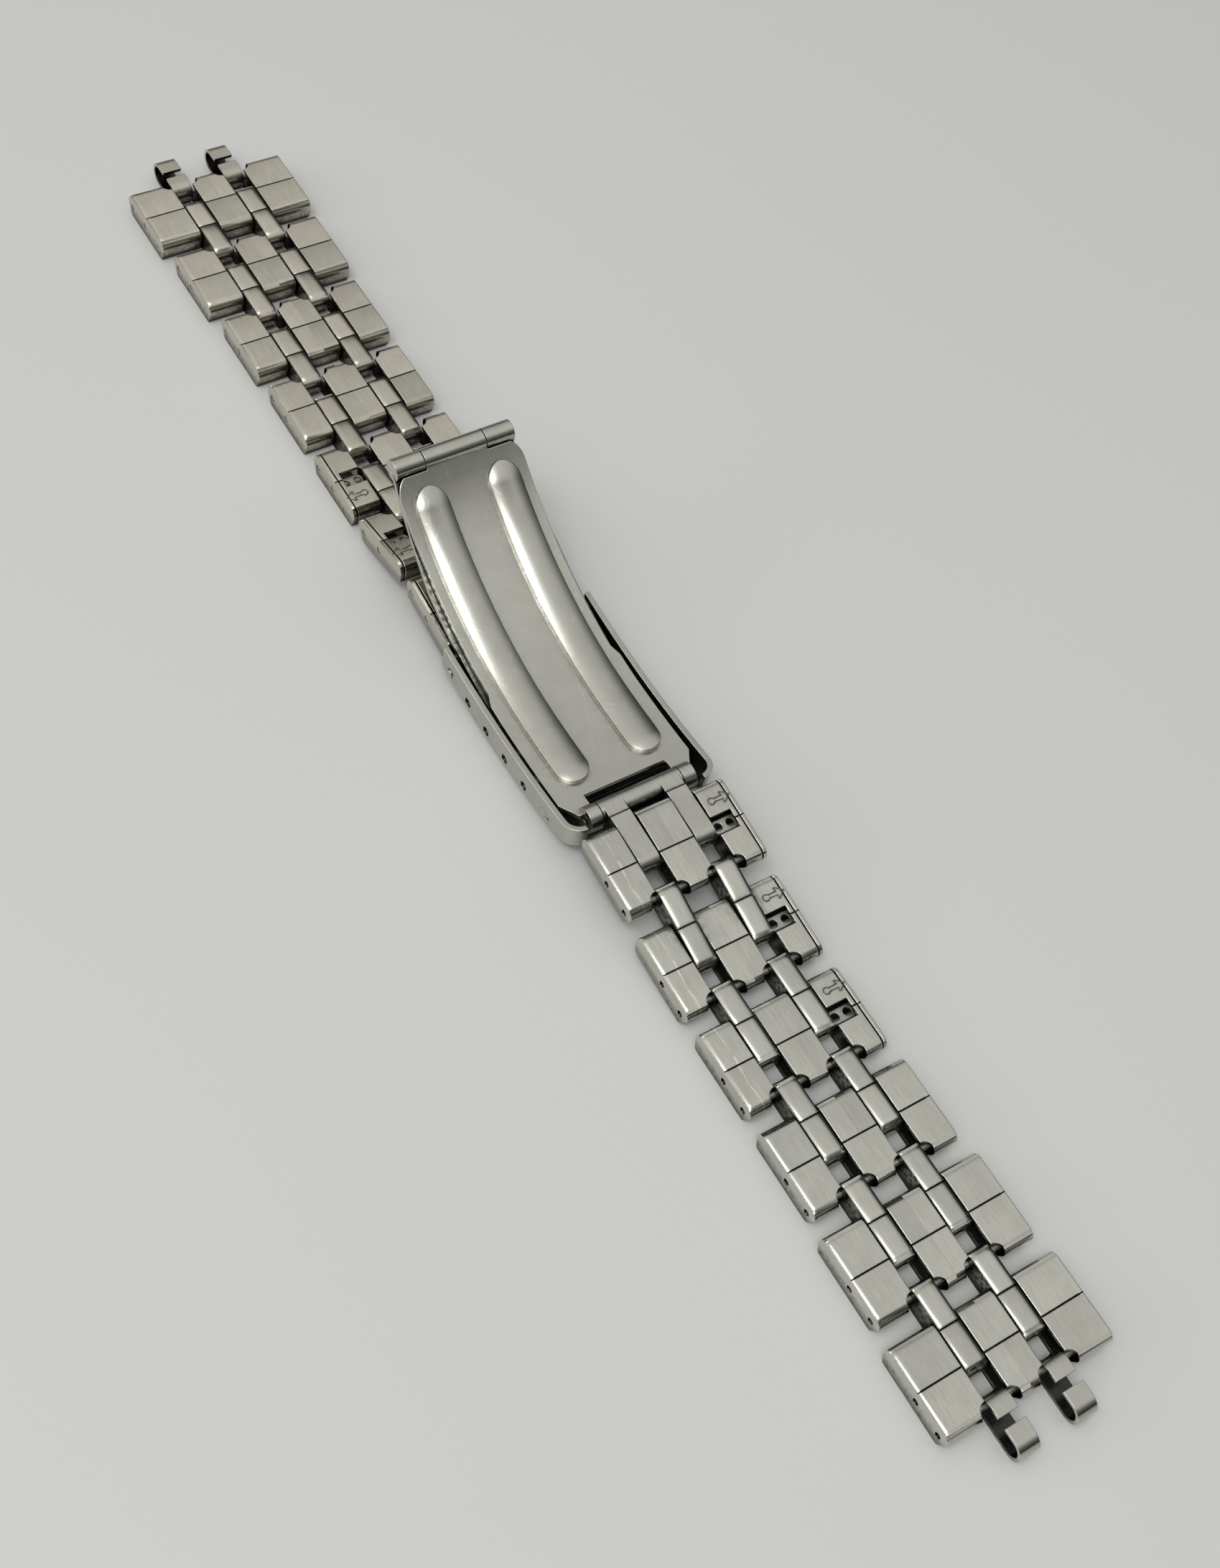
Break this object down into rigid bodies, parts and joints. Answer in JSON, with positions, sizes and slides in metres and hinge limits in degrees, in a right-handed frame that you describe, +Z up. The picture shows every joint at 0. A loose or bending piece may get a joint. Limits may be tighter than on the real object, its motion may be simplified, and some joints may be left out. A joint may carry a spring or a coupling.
{
  "type": "link watch bracelet",
  "caption": "Folded steel link watch bracelet with five columns, removable links, a folding clasp with adjusting holes and hooks at both ends.",
  "frame": {"origin": "on the table under the middle of the bracelet, laid out straight", "axes": "+X along the bracelet from the upper end to the lower end, +Y across it, +Z up, to the wrist side"},
  "size_m": [0.1566, 0.0172, 0.014],
  "materials": {
    "satin_steel": "satin, brushed lengthwise, lightly worn",
    "polished_steel": "polished, with fine scratches",
    "clasp_steel": "fine satin, scratched",
    "wire_steel": "plain drawn wire"
  },
  "bodies": {
    "cover": {"clasp_cover": "clasp_steel"},
    "middle_blade": {"middle_blade": "clasp_steel", "blade_pins": "wire_steel"},
    "inner_plate": {"inner_plate": "clasp_steel"},
    "upper_end_piece": {"upper_end_piece": "polished_steel", "upper_spring_bar": "wire_steel"},
    "upper_row_7": {"upper_outers_7": "satin_steel", "upper_centre_7": "satin_steel", "upper_clip_7": "wire_steel"},
    "upper_narrows_6_7": {"upper_narrows_6_7": "polished_steel"},
    "upper_row_6": {"upper_outers_6": "satin_steel", "upper_centre_6": "satin_steel", "upper_clip_6": "wire_steel"},
    "upper_narrows_5_6": {"upper_narrows_5_6": "polished_steel"},
    "upper_row_5": {"upper_outers_5": "satin_steel", "upper_centre_5": "satin_steel", "upper_clip_5": "wire_steel"},
    "upper_narrows_4_5": {"upper_narrows_4_5": "polished_steel"},
    "upper_row_4": {"upper_outers_4": "satin_steel", "upper_centre_4": "satin_steel", "upper_clip_4": "wire_steel"},
    "upper_narrows_3_4": {"upper_narrows_3_4": "polished_steel"},
    "upper_row_3": {"upper_outers_3": "satin_steel", "upper_centre_3": "satin_steel", "upper_clip_3": "wire_steel"},
    "upper_narrows_2_3": {"upper_narrows_2_3": "polished_steel"},
    "upper_row_2": {"upper_outers_2": "satin_steel", "upper_centre_2": "satin_steel", "upper_clip_2": "wire_steel"},
    "upper_narrows_1_2": {"upper_narrows_1_2": "polished_steel"},
    "upper_row_1": {"upper_outers_1": "satin_steel", "upper_centre_1": "satin_steel", "upper_clip_1": "wire_steel"},
    "upper_hooks": {"upper_hooks": "polished_steel"},
    "lower_end_piece": {"lower_end_piece": "polished_steel", "lower_spring_bar": "wire_steel"},
    "lower_row_6": {"lower_outers_6": "satin_steel", "lower_centre_6": "satin_steel", "lower_clip_6": "wire_steel"},
    "lower_narrows_5_6": {"lower_narrows_5_6": "polished_steel"},
    "lower_row_5": {"lower_outers_5": "satin_steel", "lower_centre_5": "satin_steel", "lower_clip_5": "wire_steel"},
    "lower_narrows_4_5": {"lower_narrows_4_5": "polished_steel"},
    "lower_row_4": {"lower_outers_4": "satin_steel", "lower_centre_4": "satin_steel", "lower_clip_4": "wire_steel"},
    "lower_narrows_3_4": {"lower_narrows_3_4": "polished_steel"},
    "lower_row_3": {"lower_outers_3": "satin_steel", "lower_centre_3": "satin_steel", "lower_clip_3": "wire_steel"},
    "lower_narrows_2_3": {"lower_narrows_2_3": "polished_steel"},
    "lower_row_2": {"lower_outers_2": "satin_steel", "lower_centre_2": "satin_steel", "lower_clip_2": "wire_steel"},
    "lower_narrows_1_2": {"lower_narrows_1_2": "polished_steel"},
    "lower_row_1": {"lower_outers_1": "satin_steel", "lower_centre_1": "satin_steel", "lower_clip_1": "wire_steel"},
    "lower_hooks": {"lower_hooks": "polished_steel"}
  },
  "joints": [
    {"name": "blade_hinge", "type": "hinge", "parent": "cover", "child": "middle_blade", "pos_m": [0.01124, 0, 0.00236], "axis": [0, 1, 0], "range_deg": [0, 140]},
    {"name": "fold_hinge", "type": "hinge", "parent": "middle_blade", "child": "inner_plate", "pos_m": [-0.02161, 0, 0.0129], "axis": [0, -1, 0], "range_deg": [0, 140]},
    {"name": "upper_bar_hinge", "type": "hinge", "parent": "cover", "child": "upper_end_piece", "pos_m": [-0.00576, 0, 0.00209], "axis": [0, 1, 0], "range_deg": [-3, 8]},
    {"name": "upper_row_7_hinge", "type": "hinge", "parent": "upper_end_piece", "child": "upper_row_7", "pos_m": [-0.0117, 0, 0.00292], "axis": [0, 1, 0], "range_deg": [-4, 12]},
    {"name": "upper_narrows_6_7_hinge", "type": "hinge", "parent": "upper_row_7", "child": "upper_narrows_6_7", "pos_m": [-0.01467, 0, 0.00334], "axis": [0, 1, 0], "range_deg": [-4, 12]},
    {"name": "upper_row_6_hinge", "type": "hinge", "parent": "upper_narrows_6_7", "child": "upper_row_6", "pos_m": [-0.0211, 0, 0.00244], "axis": [0, 1, 0], "range_deg": [-4, 12]},
    {"name": "upper_narrows_5_6_hinge", "type": "hinge", "parent": "upper_row_6", "child": "upper_narrows_5_6", "pos_m": [-0.02403, 0, 0.00176], "axis": [0, 1, 0], "range_deg": [-4, 12]},
    {"name": "upper_row_5_hinge", "type": "hinge", "parent": "upper_narrows_5_6", "child": "upper_row_5", "pos_m": [-0.03051, 0, 0.00125], "axis": [0, 1, 0], "range_deg": [-4, 12]},
    {"name": "upper_narrows_4_5_hinge", "type": "hinge", "parent": "upper_row_5", "child": "upper_narrows_4_5", "pos_m": [-0.03351, 0, 0.00125], "axis": [0, 1, 0], "range_deg": [-4, 12]},
    {"name": "upper_row_4_hinge", "type": "hinge", "parent": "upper_narrows_4_5", "child": "upper_row_4", "pos_m": [-0.04051, 0, 0.00125], "axis": [0, 1, 0], "range_deg": [-4, 12]},
    {"name": "upper_narrows_3_4_hinge", "type": "hinge", "parent": "upper_row_4", "child": "upper_narrows_3_4", "pos_m": [-0.04351, 0, 0.00125], "axis": [0, 1, 0], "range_deg": [-4, 12]},
    {"name": "upper_row_3_hinge", "type": "hinge", "parent": "upper_narrows_3_4", "child": "upper_row_3", "pos_m": [-0.05051, 0, 0.00125], "axis": [0, 1, 0], "range_deg": [-4, 12]},
    {"name": "upper_narrows_2_3_hinge", "type": "hinge", "parent": "upper_row_3", "child": "upper_narrows_2_3", "pos_m": [-0.05351, 0, 0.00125], "axis": [0, 1, 0], "range_deg": [-4, 12]},
    {"name": "upper_row_2_hinge", "type": "hinge", "parent": "upper_narrows_2_3", "child": "upper_row_2", "pos_m": [-0.06051, 0, 0.00125], "axis": [0, 1, 0], "range_deg": [-4, 12]},
    {"name": "upper_narrows_1_2_hinge", "type": "hinge", "parent": "upper_row_2", "child": "upper_narrows_1_2", "pos_m": [-0.06351, 0, 0.00125], "axis": [0, 1, 0], "range_deg": [-4, 12]},
    {"name": "upper_row_1_hinge", "type": "hinge", "parent": "upper_narrows_1_2", "child": "upper_row_1", "pos_m": [-0.07051, 0, 0.00125], "axis": [0, 1, 0], "range_deg": [-4, 12]},
    {"name": "upper_hooks_hinge", "type": "hinge", "parent": "upper_row_1", "child": "upper_hooks", "pos_m": [-0.07351, 0, 0.00125], "axis": [0, 1, 0], "range_deg": [-30, 30]},
    {"name": "lower_bar_hinge", "type": "hinge", "parent": "inner_plate", "child": "lower_end_piece", "pos_m": [0.0144, 0, 0.00405], "axis": [0, -1, 0], "range_deg": [-5, 40]},
    {"name": "lower_row_6_hinge", "type": "hinge", "parent": "lower_end_piece", "child": "lower_row_6", "pos_m": [0.02075, 0, 0.00372], "axis": [0, -1, 0], "range_deg": [-4, 12]},
    {"name": "lower_narrows_5_6_hinge", "type": "hinge", "parent": "lower_row_6", "child": "lower_narrows_5_6", "pos_m": [0.02373, 0, 0.0034], "axis": [0, -1, 0], "range_deg": [-4, 12]},
    {"name": "lower_row_5_hinge", "type": "hinge", "parent": "lower_narrows_5_6", "child": "lower_row_5", "pos_m": [0.03052, 0, 0.00171], "axis": [0, -1, 0], "range_deg": [-4, 12]},
    {"name": "lower_narrows_4_5_hinge", "type": "hinge", "parent": "lower_row_5", "child": "lower_narrows_4_5", "pos_m": [0.03351, 0, 0.00145], "axis": [0, -1, 0], "range_deg": [-4, 12]},
    {"name": "lower_row_4_hinge", "type": "hinge", "parent": "lower_narrows_4_5", "child": "lower_row_4", "pos_m": [0.04051, 0, 0.00125], "axis": [0, -1, 0], "range_deg": [-4, 12]},
    {"name": "lower_narrows_3_4_hinge", "type": "hinge", "parent": "lower_row_4", "child": "lower_narrows_3_4", "pos_m": [0.04351, 0, 0.00125], "axis": [0, -1, 0], "range_deg": [-4, 12]},
    {"name": "lower_row_3_hinge", "type": "hinge", "parent": "lower_narrows_3_4", "child": "lower_row_3", "pos_m": [0.05051, 0, 0.00125], "axis": [0, -1, 0], "range_deg": [-4, 12]},
    {"name": "lower_narrows_2_3_hinge", "type": "hinge", "parent": "lower_row_3", "child": "lower_narrows_2_3", "pos_m": [0.05351, 0, 0.00125], "axis": [0, -1, 0], "range_deg": [-4, 12]},
    {"name": "lower_row_2_hinge", "type": "hinge", "parent": "lower_narrows_2_3", "child": "lower_row_2", "pos_m": [0.06051, 0, 0.00125], "axis": [0, -1, 0], "range_deg": [-4, 12]},
    {"name": "lower_narrows_1_2_hinge", "type": "hinge", "parent": "lower_row_2", "child": "lower_narrows_1_2", "pos_m": [0.06351, 0, 0.00125], "axis": [0, -1, 0], "range_deg": [-4, 12]},
    {"name": "lower_row_1_hinge", "type": "hinge", "parent": "lower_narrows_1_2", "child": "lower_row_1", "pos_m": [0.07051, 0, 0.00125], "axis": [0, -1, 0], "range_deg": [-4, 12]},
    {"name": "lower_hooks_hinge", "type": "hinge", "parent": "lower_row_1", "child": "lower_hooks", "pos_m": [0.07351, 0, 0.00125], "axis": [0, -1, 0], "range_deg": [-30, 30]}
  ],
  "couplings": [
    {"joint": "fold_hinge", "follows": "blade_hinge", "ratio": 1}
  ]
}
